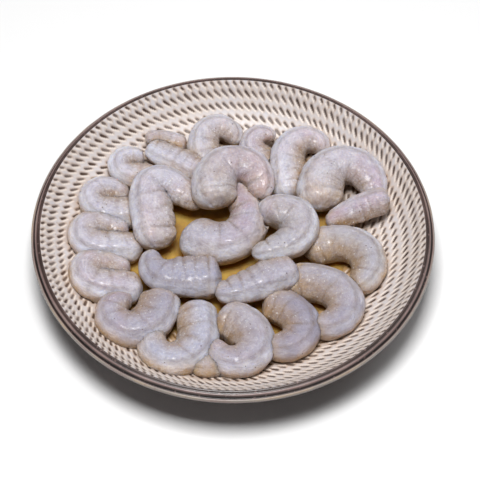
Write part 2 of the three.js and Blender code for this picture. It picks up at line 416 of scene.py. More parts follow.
def store_colour(piece, name, colours):
    """Keeps a colour for each point of the piece, for its material to read."""
    layer = piece.data.attributes.new(name, "FLOAT_COLOR", "POINT")
    opaque = np.ones(colours.shape[:-1] + (1,))
    layer.data.foreach_set("color", np.concatenate([colours, opaque], -1).astype(np.float32).ravel())


def place_in_frame(piece, node):
    """Sets the piece in the frame in place of its solid node."""
    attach(piece, BODY)
    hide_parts(node)


# Materials


class Nodes:
    """Short ways to add and join the nodes of one shader tree."""

    def __init__(self, tree):
        self.tree = tree

    def add(self, kind, **settings):
        node = self.tree.nodes.new(kind)
        for name, value in settings.items():
            setattr(node, name, value)
        return node

    def join(self, source, target):
        self.tree.links.new(source, target)

    def put(self, socket, value):
        """Joins an output to the socket, or sets the socket to a plain value."""
        if isinstance(value, bpy.types.NodeSocket):
            self.join(value, socket)
        else:
            socket.default_value = value

    def reading(self, name, output="Fac"):
        return self.add("ShaderNodeAttribute", attribute_name=name).outputs[output]

    def noise(self, vector, scale, detail=3.0, rough=0.5):
        node = self.add("ShaderNodeTexNoise")
        self.put(node.inputs["Vector"], vector)
        self.put(node.inputs["Scale"], scale)
        node.inputs["Detail"].default_value = detail
        node.inputs["Roughness"].default_value = rough
        return node.outputs["Fac"]

    def span(self, value, from_low, from_high, to_low=0.0, to_high=1.0):
        node = self.add("ShaderNodeMapRange", clamp=True)
        self.put(node.inputs["Value"], value)
        node.inputs["From Min"].default_value = from_low
        node.inputs["From Max"].default_value = from_high
        node.inputs["To Min"].default_value = to_low
        node.inputs["To Max"].default_value = to_high
        return node.outputs["Result"]

    def sum(self, operation, first, second):
        node = self.add("ShaderNodeMath", operation=operation)
        self.put(node.inputs[0], first)
        self.put(node.inputs[1], second)
        return node.outputs["Value"]

    def blend(self, share, first, second):
        node = self.add("ShaderNodeMix", data_type="RGBA")
        self.put(node.inputs["Factor"], share)
        colours = [s for s in node.inputs if s.type == "RGBA"]
        self.put(colours[0], first)
        self.put(colours[1], second)
        return [s for s in node.outputs if s.type == "RGBA"][0]

    def vector(self, x, y, z):
        node = self.add("ShaderNodeCombineXYZ")
        self.put(node.inputs["X"], x)
        self.put(node.inputs["Y"], y)
        self.put(node.inputs["Z"], z)
        return node.outputs["Vector"]

    def group(self, group, **values):
        node = self.add("ShaderNodeGroup", node_tree=group)
        for name, value in values.items():
            self.put(node.inputs[name.replace("_", " ").capitalize()], value)
        return node.outputs

    def bump(self, height, distance, strength=1.0):
        node = self.add("ShaderNodeBump")
        self.put(node.inputs["Height"], height)
        node.inputs["Distance"].default_value = distance
        node.inputs["Strength"].default_value = strength
        return node.outputs["Normal"]


def new_group(name, inputs, outputs):
    """An empty shader group with named sockets, its own nodes, and its input and output ends."""
    group = bpy.data.node_groups.new(name, "ShaderNodeTree")
    for label, kind in inputs:
        group.interface.new_socket(name=label, in_out="INPUT", socket_type=kind)
    for label, kind in outputs:
        group.interface.new_socket(name=label, in_out="OUTPUT", socket_type=kind)
    nodes = Nodes(group)
    return group, nodes, nodes.add("NodeGroupInput").outputs, nodes.add("NodeGroupOutput").inputs


def mottling_group():
    """Colour that drifts towards a second tint in soft blotches, with a finer cloudiness."""
    group = bpy.data.node_groups.get("Mottling")
    if group:
        return group
    group, nodes, given, out = new_group(
        "Mottling",
        (("Colour", "NodeSocketColor"), ("Tint", "NodeSocketColor"),
         ("Blotch scale", "NodeSocketFloat"), ("Amount", "NodeSocketFloat")),
        (("Colour", "NodeSocketColor"), ("Cloud", "NodeSocketFloat")),
    )
    place = nodes.add("ShaderNodeTexCoord").outputs["Object"]
    broad = nodes.noise(place, given["Blotch scale"], 4.0)
    fine = nodes.noise(place, nodes.sum("MULTIPLY", given["Blotch scale"], 4.3), 3.0)
    cloud = nodes.sum("MULTIPLY", nodes.span(broad, 0.35, 0.65), nodes.span(fine, 0.3, 0.6, 0.5, 1))
    share = nodes.sum("MULTIPLY", cloud, given["Amount"])
    nodes.put(out["Colour"], nodes.blend(share, given["Colour"], given["Tint"]))
    nodes.put(out["Cloud"], cloud)
    return group


def speck_group():
    """A mask of small, sparse specks, and a fine grain."""
    group = bpy.data.node_groups.get("Specks")
    if group:
        return group
    group, nodes, given, out = new_group(
        "Specks",
        (("Speck scale", "NodeSocketFloat"), ("Speck size", "NodeSocketFloat")),
        (("Specks", "NodeSocketFloat"), ("Grain", "NodeSocketFloat")),
    )
    place = nodes.add("ShaderNodeTexCoord").outputs["Object"]
    cells = nodes.add("ShaderNodeTexVoronoi")
    nodes.put(cells.inputs["Vector"], place)
    nodes.put(cells.inputs["Scale"], given["Speck scale"])
    dot = nodes.sum("LESS_THAN", cells.outputs["Distance"], given["Speck size"])
    rare = nodes.sum("GREATER_THAN", nodes.noise(place, given["Speck scale"], 0.0), 0.58)
    nodes.put(out["Specks"], nodes.sum("MULTIPLY", dot, rare))
    grain = nodes.noise(place, nodes.sum("MULTIPLY", given["Speck scale"], 3.0), 2.0)
    nodes.put(out["Grain"], grain)
    return group


def new_material(name):
    """A material with an empty tree but for its surface shader."""
    material = bpy.data.materials.new(name)
    material.use_nodes = True
    tree = material.node_tree
    shader = next(n for n in tree.nodes if n.type == "BSDF_PRINCIPLED")
    return material, Nodes(tree), shader.inputs


def slip_material(dish):
    """Pale slip over brown clay: cut marks show the clay, their edges stand up pale with a painted
    highlight, and painted shade falls on one side and in the gaps.
    """
    material, nodes, surface = new_material("Slip cut to the clay")
    slip = nodes.group(
        mottling_group(), colour=dish.slip_colour, tint=dish.slip_tint, blotch_scale=70.0, amount=0.8
    )["Colour"]
    specks = nodes.group(speck_group(), speck_scale=260.0, speck_size=0.16)
    colour = nodes.blend(nodes.sum("MULTIPLY", specks["Specks"], 0.35), slip, dish.stain_colour)
    colour = nodes.blend(nodes.reading("stain"), colour, dish.stain_colour)
    colour = nodes.blend(nodes.reading("halo"), colour, dish.halo_colour)
    # Painted highlight: the raised edge beside each mark is coloured paler than the slip.
    colour = nodes.blend(nodes.reading("ridge"), colour, dish.ridge_and_highlight_colour)
    cut = nodes.blend(nodes.reading("burnt"), dish.cut_colour, dish.burnt_colour)
    colour = nodes.blend(nodes.reading("mark"), colour, cut)
    # Painted shade in the narrow gaps between prawns.
    colour = nodes.blend(nodes.reading("painted_gap_shade"), colour, dish.painted_gap_shade_colour)
    nodes.put(surface["Base Color"], colour)
    nodes.put(surface["Roughness"], nodes.span(specks["Grain"], 0.3, 0.7, 0.42, 0.6))
    surface["Coat Weight"].default_value = 0.1
    surface["Coat Roughness"].default_value = 0.3
    nodes.put(surface["Normal"], nodes.bump(specks["Grain"], 0.0002, 0.35))
    return material


def floor_material(dish):
    """Honey-coloured glaze that pools in the middle of the dish, wet-looking, with painted shade brown
    in the narrow gaps between prawns.
    """
    material, nodes, surface = new_material("Pooled honey glaze")
    colour = nodes.group(
        mottling_group(), colour=dish.pool_colour, tint=dish.stain_colour, blotch_scale=90.0, amount=0.9
    )["Colour"]
    specks = nodes.group(speck_group(), speck_scale=300.0, speck_size=0.22)
    colour = nodes.blend(nodes.sum("MULTIPLY", specks["Specks"], 0.5), colour, dish.burnt_colour)
    # Painted shade in the narrow gaps between prawns.
    colour = nodes.blend(nodes.reading("painted_gap_shade"), colour, dish.painted_gap_shade_colour)
    nodes.put(surface["Base Color"], colour)
    nodes.put(surface["Roughness"], nodes.span(specks["Grain"], 0.3, 0.7, 0.35, 0.5))
    surface["Coat Weight"].default_value = 0.15
    surface["Coat Roughness"].default_value = 0.25
    surface["Subsurface Weight"].default_value = 0.9
    surface["Subsurface Radius"].default_value = (1.0, 0.75, 0.35)
    surface["Subsurface Scale"].default_value = 0.015
    nodes.put(surface["Normal"], nodes.bump(specks["Grain"], 0.0002, 0.3))
    return material


def lip_material(dish):
    """Burnt brown glaze, worn down and pinkish on the ridges with a painted highlight there, a groove
    painted black as shade, and bare clay on the foot.
    """
    material, nodes, surface = new_material("Burnt lip glaze")
    place = nodes.add("ShaderNodeTexCoord").outputs["Object"]
    drift = nodes.span(nodes.noise(place, 45.0, 4.0), 0.3, 0.7, -0.12, 0.12)
    tone = nodes.sum("ADD", nodes.reading("tone"), drift)
    bands = nodes.add("ShaderNodeValToRGB")
    nodes.put(bands.inputs["Fac"], tone)
    stops = bands.color_ramp.elements
    stops[0].position = 0.0
    stops[0].color = dish.painted_groove_shade_colour
    stops[1].position = 1.0
    stops[1].color = dish.clay_colour
    # Tone 0 is painted shade in the groove, and tone 0.6 a painted highlight on the ridge.
    for position, shade in (
        (0.3, dish.burnt_lip_colour), (0.6, dish.worn_and_highlight_lip_colour), (0.82, dish.bead_colour)
    ):
        stops.new(position).color = shade
    specks = nodes.group(speck_group(), speck_scale=420.0, speck_size=0.3)
    colour = nodes.blend(
        nodes.sum("MULTIPLY", specks["Specks"], 0.5), bands.outputs["Color"], dish.worn_and_highlight_lip_colour
    )
    nodes.put(surface["Base Color"], colour)
    nodes.put(surface["Roughness"], nodes.span(nodes.reading("tone"), 0.8, 1.0, 0.38, 0.85))
    nodes.put(surface["Coat Weight"], nodes.span(nodes.reading("tone"), 0.8, 1.0, 0.35, 0.0))
    surface["Coat Roughness"].default_value = 0.25
    nodes.put(surface["Normal"], nodes.bump(specks["Grain"], 0.0003, 0.5))
    return material


def flesh_material(prawns):
    """Wet raw prawn flesh: each point's tint, with its painted shade, milky clouds, fine streaks, cross
    ribs and specks.
    """
    material, nodes, surface = new_material("Raw prawn flesh")
    along = nodes.reading("along")
    around = nodes.reading("around")
    belly = nodes.reading("belly")
    tint = nodes.reading("tint", "Color")
    cloudiness = nodes.reading("cloudiness")
    cloudy = nodes.group(
        mottling_group(), colour=tint, tint=prawns.milky_colour, blotch_scale=120.0,
        amount=nodes.sum("MULTIPLY", cloudiness, 0.4),
    )
    clouded = nodes.group(
        mottling_group(), colour=cloudy["Colour"], tint=prawns.streak_colour, blotch_scale=200.0,
        amount=0.3,
    )
    streaks = nodes.noise(
        nodes.vector(nodes.sum("MULTIPLY", along, 0.2), nodes.sum("MULTIPLY", around, 3.6), belly),
        2.2, 4.0, 0.65,
    )
    pale_share = nodes.sum("MULTIPLY", nodes.span(streaks, 0.5, 0.34, 0, 0.3), cloudiness)
    pale = nodes.blend(pale_share, clouded["Colour"], prawns.milky_colour)
    streaked = nodes.blend(nodes.span(streaks, 0.52, 0.7, 0, 0.4), pale, prawns.streak_colour)
    ribs = nodes.noise(
        nodes.vector(nodes.sum("MULTIPLY", along, 0.62), nodes.sum("MULTIPLY", around, 0.9), 0.0),
        1.3, 3.0, 0.6,
    )
    low_belly = nodes.span(belly, 0.45, 1.0)
    rib_share = nodes.sum("MULTIPLY", nodes.span(ribs, 0.48, 0.66, 0, 0.5), low_belly)
    ribbed = nodes.blend(rib_share, streaked, prawns.rib_and_fold_shade_colour)
    specks = nodes.group(speck_group(), speck_scale=210.0, speck_size=0.1)
    colour = nodes.blend(nodes.sum("MULTIPLY", specks["Specks"], 0.7), ribbed, prawns.speck_colour)
    crumbs = nodes.group(speck_group(), speck_scale=520.0, speck_size=0.22)
    crumb_share = nodes.sum("MULTIPLY", crumbs["Specks"], nodes.span(belly, 0.2, 0.6, 0.1, 0.5))
    colour = nodes.blend(crumb_share, colour, prawns.crumb_colour)
    colour = nodes.blend(nodes.span(crumbs["Grain"], 0.5, 0.7, 0, 0.08), colour, prawns.crumb_colour)
    colour = nodes.blend(nodes.span(specks["Grain"], 0.5, 0.7, 0, 0.07), colour, prawns.rib_and_fold_shade_colour)
    nodes.put(surface["Base Color"], colour)
    place = nodes.add("ShaderNodeTexCoord").outputs["Object"]
    wet = nodes.noise(place, 330.0)
    nodes.put(surface["Roughness"], nodes.span(wet, 0.4, 0.6, 0.55, 0.34))
    nodes.put(surface["Coat Weight"], nodes.span(wet, 0.45, 0.62, 0.0, 0.4))
    surface["Coat Roughness"].default_value = 0.2
    surface["Subsurface Weight"].default_value = prawns.softness
    surface["Subsurface Radius"].default_value = (1.0, 0.85, 0.6)
    surface["Subsurface Scale"].default_value = 0.012
    surface["IOR"].default_value = 1.4
    ripple = nodes.noise(place, 280.0, 2.0, 0.5)
    relief = nodes.sum("ADD", ripple, nodes.sum("MULTIPLY", streaks, 0.7))
    relief = nodes.sum("ADD", relief, nodes.sum("MULTIPLY", ribs, nodes.sum("MULTIPLY", low_belly, 0.4)))
    nodes.put(surface["Normal"], nodes.bump(relief, 0.0016, 0.8))
    return material


def stage_material(stage):
    """Plain pale matt floor."""
    material, _, surface = new_material("Pale floor")
    surface["Base Color"].default_value = stage.floor_colour
    surface["Roughness"].default_value = 0.9
    return material


# Dish


def ring_points(radius, height, turn):
    """Points on the dish from their radius, height and angle."""
    return np.stack([radius * np.cos(turn), radius * np.sin(turn), height], -1)


def cut_marks(radius, turn):
    """Shares of cut, burnt clay, raised edge (painted pale as a highlight) and stained surround at each
    point of the wall.
    """
    mark = np.zeros_like(radius)
    burnt = np.zeros_like(radius)
    ridge = np.zeros_like(radius)
    halo = np.zeros_like(radius)
    for seed, ring in enumerate(MARK_RINGS):
        pitch = 2 * math.pi / ring.count
        phase = math.radians(ring.phase)
        near = np.abs(radius - ring.radius) < ring.length * 0.8
        here = radius[near]
        angle = turn[near]
        nearest = np.round((angle - phase) / pitch).astype(np.int64)
        for beside in (-1, 0, 1):
            order = nearest + beside
            key = np.mod(order, ring.count)
            shift = scatter(key, 31 * seed + 1) - 0.5
            tilt = scatter(key, 31 * seed + 2) - 0.5
            size = scatter(key, 31 * seed + 3) - 0.5
            shade = scatter(key, 31 * seed + 4)
            arc = (angle - phase - order * pitch) * here + 0.3 * shift
            outward = here - ring.radius - 0.35 * size
            slant = math.radians(ring.slant) + 0.12 * tilt
            lengthwise = arc * np.cos(slant) + outward * np.sin(slant)
            sideways = outward * np.cos(slant) - arc * np.sin(slant)
            half = ring.length / 2 * (1 + 0.2 * size)
            part = np.clip(lengthwise / half, -1.3, 1.3)
            thick = ring.width / 2 * (1 + 0.25 * tilt) * (0.85 + 0.2 * part)
            reach = part ** 4 + (sideways / thick) ** 2
            cut = 1 - ramp(0.45, 1.5, reach)
            mark[near] = np.maximum(mark[near], cut * (0.8 + 0.2 * shade))
            dark = cut * np.clip(0.55 + 0.5 * part, 0, 1) * ring.burnt * (0.75 + 0.25 * shade)
            burnt[near] = np.maximum(burnt[near], dark)
            wide = (lengthwise / (half + 0.9)) ** 4 + (sideways / (thick + 0.75)) ** 2
            halo[near] = np.maximum(halo[near], 1 - ramp(0.3, 1.3, wide))
            crest = (sideways + thick + 0.5) / 0.5
            stroke = np.exp(-crest * crest) * (1 - ramp(0.7, 1.25, np.abs(part)))
            ridge[near] = np.maximum(ridge[near], stroke)
    return mark, burnt, ridge * (1 - mark), halo * (1 - mark)


class DishSettings(bpy.types.PropertyGroup):
    """Sizes and colours of the dish."""

    cut_depth: FloatProperty(
        name="Cut Depth", description="How deep each mark is cut", default=0.00045, unit="LENGTH"
    )
    edge_height: FloatProperty(
        name="Edge Height", description="How far the slip stands up beside a mark",
        default=0.00022, unit="LENGTH",
    )
    slip_colour: colour_setting("Slip", "Pale slip on the wall", 206, 197, 194)
    slip_tint: colour_setting("Slip Tint", "Cooler tint that drifts over the slip", 201, 198, 203)
    # Raised slip with a painted highlight on one side of each mark.
    ridge_and_highlight_colour: colour_setting("Raised Edge", "Cream slip that stands up beside a mark", 232, 221, 212)
    halo_colour: colour_setting("Thin Slip", "Thin slip round a mark", 184, 158, 136)
    cut_colour: colour_setting("Cut Clay", "Clay at the shallow end of a mark", 88, 64, 46)
    burnt_colour: colour_setting("Burnt Clay", "Clay at the deep end of a mark", 52, 34, 26)
    stain_colour: colour_setting("Honey Stain", "Glaze that runs down to the floor", 158, 120, 66)
    # Painted shade: brown put in the narrow gaps between prawns, where shade falls.
    painted_gap_shade_colour: colour_setting("Murk", "Brown juice in the narrow gaps between prawns", 150, 110, 44)
    pool_colour: colour_setting("Pooled Glaze", "Glaze in the middle of the dish", 192, 154, 72)
    # Painted shade: the groove in the lip is painted near black.
    painted_groove_shade_colour: colour_setting("Groove", "Bottom of the groove in the lip", 28, 20, 18)
    burnt_lip_colour: colour_setting("Burnt Lip", "Thick glaze on the lip and outer wall", 68, 52, 48)
    # Partly worn glaze and partly a painted highlight on the ridge of the lip.
    worn_and_highlight_lip_colour: colour_setting("Worn Lip", "Thin glaze on the ridge of the lip", 132, 108, 104)
    bead_colour: colour_setting("Bead", "Outer bead of the lip", 140, 132, 124)
    clay_colour: colour_setting("Bare Clay", "Unglazed foot", 176, 150, 122)


class PRAWNDISH_OT_wall(bpy.types.Operator):
    """Turns the inner wall and cuts its rings of marks"""

    bl_idname = "prawn_dish.wall"
    bl_label = "Make Dish Wall"

    def execute(self, context):
        dish = context.scene.prawn_dish
        material = slip_material(dish)
        for name, start, end, rows, columns in WALL_STRIPS:
            radii = np.linspace(start, end, rows)
            turns = np.arange(columns) * 2 * math.pi / columns
            radius, turn = np.meshgrid(radii, turns, indexing="ij")
            mark, burnt, ridge, halo = cut_marks(radius, turn)
            height = wall_height(radius)
            slope = np.gradient(wall_height(radii), radii)[:, None]
            across = np.sqrt(1 + slope * slope)
            uneven = 0.12 * lumps(ring_points(radius, height, turn), 14.0, WALL_SEED)
            proud = (dish.edge_height * ridge - dish.cut_depth * mark) / MM + uneven
            proud[[0, -1]] = 0
            points = ring_points(radius - proud * slope / across, height + proud / across, turn)
            faces = grid_faces(rows, columns).tolist()
            piece = make_mesh(name, points.reshape(-1, 3), faces, material)
            blotch = lumps(ring_points(radius, height, turn), 9.0, STAIN_SEED)
            stain = 1 - ramp(*STAIN_FADE, radius + 3.0 * blotch)
            golden = 1 - ramp(*GOLDEN_FADE, radius + 2.0 * blotch)
            room = room_to_prawns(points.reshape(-1, 3)).reshape(radius.shape)
            # Near the prawns the glaze is partly stained with juice and partly warmed and browned as
            # painted shade from the prawns.
            juice = 1 - ramp(0.0, JUICE_AND_SHADE_REACH, room + 1.5 * blotch)
            golden = np.maximum(golden, juice)
            # Painted shade: the marks and glaze deepen in tone towards one side of the wall, where the
            # cuts lie in shade.
            painted_side_shade = 0.5 + 0.5 * np.cos(turn - PAINTED_SHADE_SIDE)
            stain = np.maximum(stain, 0.4 * juice)
            stain = np.maximum(stain, 0.08 * painted_side_shade)
            store(piece, "mark", mark)
            # The burnt share also carries the painted shade on that side.
            store(piece, "burnt", (burnt + 0.4 * painted_side_shade) * (1 - 0.5 * golden))
            # Painted shade in the narrow gaps between prawns, fading out up the wall.
            store(piece, "painted_gap_shade", painted_gap_shade_share(room) * (1 - ramp(*PAINTED_GAP_SHADE_FADE, radius)))
            # The raised edge, painted pale as a highlight.
            store(piece, "ridge", 0.9 * ridge)
            store(piece, "halo", (0.6 + 0.3 * golden) * halo)
            store(piece, "stain", 0.85 * stain)
            place_in_frame(piece, "dish")
        return {"FINISHED"}


class PRAWNDISH_OT_floor(bpy.types.Operator):
    """Turns the floor of the dish under the prawns"""

    bl_idname = "prawn_dish.floor"
    bl_label = "Make Dish Floor"

    def execute(self, context):
        dish = context.scene.prawn_dish
        radii = np.linspace(0, WALL_FOOT, FLOOR_ROWS + 1)[1:]
        turns = np.arange(FLOOR_COLUMNS) * 2 * math.pi / FLOOR_COLUMNS
        radius, turn = np.meshgrid(radii, turns, indexing="ij")
        height = wall_height(radius)
        uneven = 0.15 * lumps(ring_points(radius, height, turn), 16.0, FLOOR_SEED)
        uneven[-1] = 0
        points = ring_points(radius, height + uneven, turn).reshape(-1, 3)
        middle = len(points)
        points = np.vstack([points, [[0, 0, FLOOR_HEIGHT]]])
        faces = grid_faces(FLOOR_ROWS, FLOOR_COLUMNS).tolist()
        for column in range(FLOOR_COLUMNS):
            faces.append([middle, column, (column + 1) % FLOOR_COLUMNS])
        piece = make_mesh("dish_floor", points, faces, floor_material(dish))
        # Painted shade in the narrow gaps between prawns.
        store(piece, "painted_gap_shade", painted_gap_shade_share(room_to_prawns(points)))
        place_in_frame(piece, "dish")
        return {"FINISHED"}


class PRAWNDISH_OT_lip(bpy.types.Operator):
    """Turns the banded lip, the outer wall and the foot"""

    bl_idname = "prawn_dish.lip"
    bl_label = "Make Lip and Foot"

    def execute(self, context):
        dish = context.scene.prawn_dish
        outline = np.array(LIP_OUTLINE, float)
        hops = np.hypot(np.diff(outline[:, 0]), np.diff(outline[:, 1]))
        stops = np.concatenate([[0], np.cumsum(np.sqrt(hops))])
        wanted = np.linspace(0, stops[-1], LIP_ROWS)
        radius = smooth_curve(np.stack([stops, outline[:, 0]], -1))(wanted)
        height = smooth_curve(np.stack([stops, outline[:, 1]], -1))(wanted)
        tone = smooth_curve(np.stack([stops, outline[:, 2]], -1))(wanted)
        turns = np.arange(LIP_COLUMNS) * 2 * math.pi / LIP_COLUMNS
        radius = np.repeat(radius[:, None], LIP_COLUMNS, 1)
        height = np.repeat(height[:, None], LIP_COLUMNS, 1)
        turn = np.repeat(turns[None, :], LIP_ROWS, 0)
        points = ring_points(radius, height, turn)
        thrown = ramp(*THROWN_FROM, height) * (1 - ramp(*THROWN_TO, height))
        thrown = THROWN_HEIGHT * np.sin(height * THROWN_TURN) * thrown
        radius = radius + thrown + 0.06 * lumps(points, 7.0, LIP_SEED) * (height < EVEN_ABOVE)
        points = ring_points(radius, height, turn).reshape(-1, 3)
        middle = len(points)
        points = np.vstack([points, [[0, 0, outline[-1, 1]]]])
        faces = grid_faces(LIP_ROWS, LIP_COLUMNS).tolist()
        last = (LIP_ROWS - 1) * LIP_COLUMNS
        for column in range(LIP_COLUMNS):
            faces.append([last + column, middle, last + (column + 1) % LIP_COLUMNS])
        piece = make_mesh("dish_lip_and_foot", points, faces, lip_material(dish))
        store(piece, "tone", np.append(np.repeat(tone, LIP_COLUMNS), tone[-1]))
        place_in_frame(piece, "dish")
        return {"FINISHED"}


# Prawns


class PrawnSettings(bpy.types.PropertyGroup):
    """Sizes and colours of the prawns."""

    press_gap: FloatProperty(
        name="Press Gap", description="Gap kept where one prawn presses on another",
        default=0.0003, unit="LENGTH",
    )
    fold_depth: FloatProperty(
        name="Fold Depth", description="Depth of the folds between segments on the belly side",
        default=0.0010, unit="LENGTH",
    )
    lump_height: FloatProperty(
        name="Lump Height", description="Soft unevenness of the flesh", default=0.0005, unit="LENGTH"
    )
    softness: FloatProperty(
        name="Softness", description="How much light passes into the flesh", default=0.85,
        min=0, max=1, subtype="FACTOR",
    )
    seed: IntProperty(name="Seed", description="Starts the random lumps", default=7, min=0)
    flesh_colour: colour_setting("Flesh", "Pale grey flesh", 177, 175, 187)
    blue_colour: colour_setting("Blue Flesh", "Bluish translucent flesh", 176, 182, 203)
    rose_colour: colour_setting("Rose Flesh", "Lavender and rose tint", 178, 152, 168)
    # Tan is the flesh's own tint at some ends and also warm painted shade on the underside, by contacts
    # and low near the dish.
    tan_and_shade_colour: colour_setting("Tan Flesh", "Warm flesh near the floor and the belly", 188, 152, 102)
    # Painted shade: warm brown put on flesh low on the dish, in the hollow of each curl and by contacts
    # deep in the heap.
    painted_shade_flesh_colour: colour_setting("Shaded Flesh", "Juice-stained flesh deep in the heap", 156, 118, 56)
    clear_colour: colour_setting("Glassy Flesh", "Glassy grey-brown flesh", 152, 146, 134)
    milky_colour: colour_setting("Milky Flesh", "Milky clouds in the flesh", 219, 220, 231)
    streak_colour: colour_setting("Streaks", "Fine muscle streaks along the back", 147, 142, 158)
    # Ribs are the flesh's own cross ribs; the same colour is painted as shade in the folds and the back
    # crease.
    rib_and_fold_shade_colour: colour_setting("Ribs", "Cross ribs on the belly side", 126, 108, 92)
    crumb_colour: colour_setting("Crumbs", "Tiny milky crumbs in the glassy flesh", 232, 232, 234)
    speck_colour: colour_setting("Specks", "Tiny dark specks", 96, 78, 72)


slim_share = smooth_curve([(place, slim) for place, slim, _ in STATIONS])
end_rounding = smooth_curve([(place, rounding) for place, _, rounding in STATIONS])


class Spine:
    """A prawn's centreline in its own leaning plane, and the way between that plane and the dish."""

    def __init__(self, prawn):
        self.prawn = prawn
        self.shares = np.linspace(0, 1, SPINE_STEPS + 1)
        bend_start = prawn.bend_at - prawn.bend_over / 2
        bend = ramp(bend_start, bend_start + prawn.bend_over, self.shares)
        bend = (bend - bend[0]) / (bend[-1] - bend[0])
        self.angles = math.radians(prawn.heading) + math.radians(prawn.turn) * bend
        hops = np.stack([np.cos(self.angles), np.sin(self.angles)], -1) * prawn.length / SPINE_STEPS
        self.places = np.vstack([[0, 0], np.cumsum(hops[:-1], 0)])
        self.back = -1 if prawn.turn > 0 else 1
        self.deep = prawn.half_depth(self.shares)
        towards = math.radians(prawn.towards)
        axis = Vector((math.sin(towards), -math.cos(towards), 0))
        self.turned = np.array(Matrix.Rotation(math.radians(prawn.lean), 3, axis))
        self.at = np.array(prawn.at, float)

    def to_dish(self, points):
        return points @ self.turned.T + self.at

    def from_dish(self, points):
        return (points - self.at) @ self.turned


def from_back(around):
    """The angle from the middle of the back, the same way on both sides."""
    return np.minimum(around, 2 * math.pi - around)


def segments(prawn, share, around, points, settings):
    """How far each point is up the swell of its segment, and how near a fold between two.

    By chance, some folds are deep and some hardly show.
    """
    leaning = share + 0.02 * np.cos(around) + 0.03 * lumps(points, 10.0, settings.seed + 2)
    place = np.interp(leaning, SEGMENT_ENDS, np.arange(len(SEGMENT_ENDS)))
    between = np.abs(np.sin(math.pi * place))
    own = len(SEGMENT_ENDS) * PRAWNS.index(prawn)
    strength = 0.25 + scatter(own + np.round(place).astype(np.int64), settings.seed)
    return strength * (between ** 0.7 - 0.7), strength * np.exp(-((between / 0.3) ** 2))


def flesh_relief(prawn, share, around, room, points, settings):
    """How far the skin stands in or out: segments, folds between them, creases and soft lumps.

    The room is how little the body's own bend squeezes the skin at each point.
    """
    off_back = from_back(around)
    inner = ramp(CREASE_ANGLE, INNER_ANGLE, off_back)
    lobe, fold = segments(prawn, share, around, points, settings)
    uneven = 0.8 + 0.6 * lumps(points, 12.0, settings.seed + 4)
    deeper = settings.fold_depth / MM * prawn.girth / USUAL_GIRTH * uneven * room
    ribs = np.sin(share * prawn.length * RIB_TURN + 2 * lumps(points, 9.0, settings.seed + 3))
    soft = lumps(points, 9.0, settings.seed) + 0.6 * lumps(points, 3.6, settings.seed + 1)
    strands = np.sin(STRANDS * around + 2.2 * lumps(points, 11.0, settings.seed + 6))
    groove = np.exp(-((around - math.pi) / GROOVE_WIDTH) ** 2)
    crease = np.exp(-((off_back - CREASE_ANGLE) / CREASE_WIDTH) ** 2)
    return (
        deeper * (lobe * (0.1 + 0.9 * inner) - 0.4 * fold * (0.05 + 0.95 * inner))
        + RIB_HEIGHT * ribs * inner * room
        + STRAND_HEIGHT * strands * room
        - GROOVE_DEPTH * groove
        - CREASE_DEPTH * crease * uneven
        + settings.lump_height / MM * soft
        + GRAIN_HEIGHT * lumps(points, 2.2, settings.seed + 5)
    )


def swept_body(spine, settings):
    """Rings of points of one prawn before it is pressed, with each point's share and angle."""
    prawn = spine.prawn
    rings = int(np.clip(prawn.length / RING_SPACING, FEWEST_RINGS, MOST_RINGS))
    even = np.linspace(0, 1, rings)
    eased = (1 - np.cos(math.pi * even)) / 2
    shares = 0.35 * even + 0.65 * eased
    angles = np.arange(BODY_SIDES) * 2 * math.pi / BODY_SIDES
    share, around = np.meshgrid(shares, angles, indexing="ij")
    deep = prawn.half_depth(share)
    heading = np.interp(share, spine.shares, spine.angles)
    x = np.interp(share, spine.shares, spine.places[:, 0])
    y = np.interp(share, spine.shares, spine.places[:, 1])

    def section(radius):
        out = spine.back * radius * np.cos(around)
        up = radius * SIDEWAYS_THICKNESS * np.sin(around) * (1 + BACK_BULGE * np.cos(around))
        return np.stack([x - np.sin(heading) * out, y + np.cos(heading) * out, up], -1)

    first = spine.to_dish(section(deep))
    ends = ramp(0, 0.05, share) * (1 - ramp(0.95, 1.0, share))
    bending = np.abs(np.gradient(spine.angles)) * SPINE_STEPS / prawn.length
    bending = np.interp(share, spine.shares, bending)
    room = np.clip(1 + bending * deep * np.cos(around), 0.2, 1)
    relief = flesh_relief(prawn, share, around, room, first, settings) * (0.25 + 0.75 * ends)
    limit = MOST_RELIEF * deep
    points = section(deep + np.clip(relief, -limit, limit))
    caps = []
    for side, sign in ((0, -1), (-1, 1)):
        middle = points[side].mean(0)
        way = sign * np.array([math.cos(heading[side, 0]), math.sin(heading[side, 0]), 0])
        height = CAP_HEIGHT * deep[side, 0]
        steps = []
        for ring in range(1, CAP_RINGS):
            turn = math.pi / 2 * ring / CAP_RINGS
            drawn_in = middle + (points[side] - middle) * math.cos(turn)
            steps.append(drawn_in + way * height * math.sin(turn))
        caps.append((steps, middle + way * height))
    rows = list(reversed(caps[0][0])) + list(points) + caps[1][0]
    cap_shares = np.concatenate([np.zeros(CAP_RINGS - 1), shares, np.ones(CAP_RINGS - 1)])
    grid = np.stack(rows)
    ends = np.stack([caps[0][1], caps[1][1]])
    return grid, ends, cap_shares, angles


def body_faces(rings, outward):
    """Faces of a closed body of rings, whose two end points follow the rings."""
    faces = grid_faces(rings, BODY_SIDES).tolist()
    head = rings * BODY_SIDES
    last = (rings - 1) * BODY_SIDES
    for side in range(BODY_SIDES):
        beside = (side + 1) % BODY_SIDES
        faces.append([head, side, beside])
        faces.append([last + side, head + 1, last + beside])
    if outward:
        return faces
    return [face[::-1] for face in faces]


